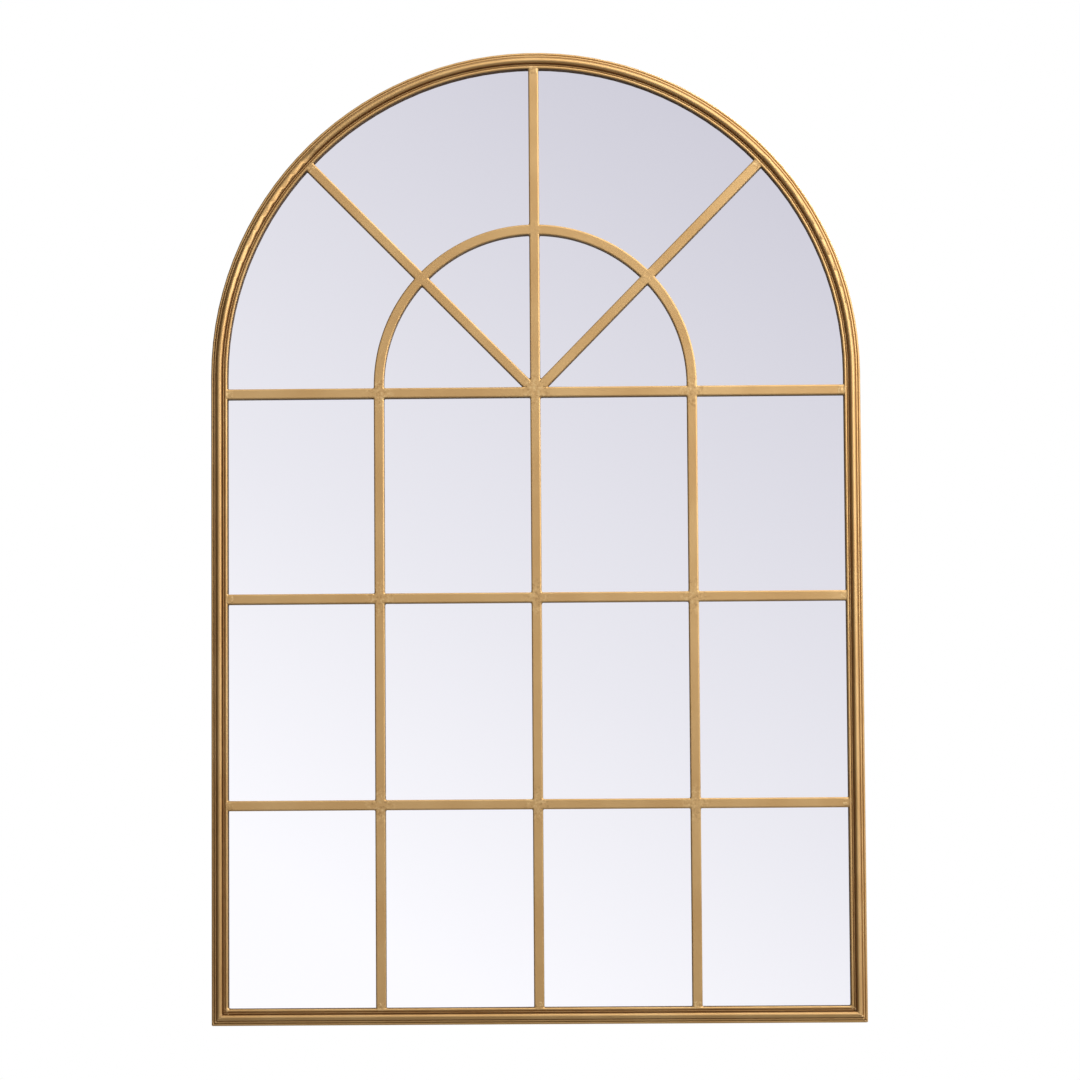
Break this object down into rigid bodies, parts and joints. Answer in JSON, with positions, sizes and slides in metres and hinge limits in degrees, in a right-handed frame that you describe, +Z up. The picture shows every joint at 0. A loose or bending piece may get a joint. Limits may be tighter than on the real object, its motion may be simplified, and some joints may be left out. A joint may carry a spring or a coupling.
{
  "type": "window mirror",
  "caption": "Arched wall mirror made like a window: moulded metal frame, welded glazing bars with a fan in the arch, one mirror sheet and a rear board.",
  "frame": {"origin": "middle of the footprint, level with the underside of the bottom rail and half way between the front and the wall", "axes": "+X to the viewer's right, +Y from the front to the wall, +Z up"},
  "size_m": [0.815, 0.028, 1.2189],
  "materials": {
    "gold_frame": "satin antique gold",
    "tab_steel": "plain zinc",
    "mirror": "silvered glass",
    "board": "raw fibre board",
    "tape": "soft foam tape",
    "screw_steel": "zinc plated"
  },
  "bodies": {
    "root": {"frame_hoop": "gold_frame", "frame_sill": "gold_frame", "rim_hoop": "gold_frame", "rim_sill": "gold_frame", "bar_vertical_left": "gold_frame", "bar_vertical_centre": "gold_frame", "bar_vertical_right": "gold_frame", "bar_diagonal_left": "gold_frame", "bar_diagonal_right": "gold_frame", "bar_lower_1": "gold_frame", "bar_lower_2": "gold_frame", "bar_lower_3": "gold_frame", "bar_lower_4": "gold_frame", "bar_upper_1": "gold_frame", "bar_upper_2": "gold_frame", "bar_upper_3": "gold_frame", "bar_upper_4": "gold_frame", "bar_spring_1": "gold_frame", "bar_spring_2": "gold_frame", "bar_spring_3": "gold_frame", "bar_spring_4": "gold_frame", "bar_fan_1": "gold_frame", "bar_fan_2": "gold_frame", "bar_fan_3": "gold_frame", "bar_fan_4": "gold_frame", "tab_left_lower": "tab_steel", "tab_left_upper": "tab_steel", "tab_right_lower": "tab_steel", "tab_right_upper": "tab_steel", "tab_bottom_left": "tab_steel", "tab_bottom_right": "tab_steel", "tab_arch_left": "tab_steel", "tab_arch_right": "tab_steel", "hanger_plate_left": "tab_steel", "hanger_plate_right": "tab_steel", "mirror_glass": "mirror", "back_board": "board", "glazing_tape": "tape", "tab_screws": "screw_steel"}
  },
  "joints": []
}
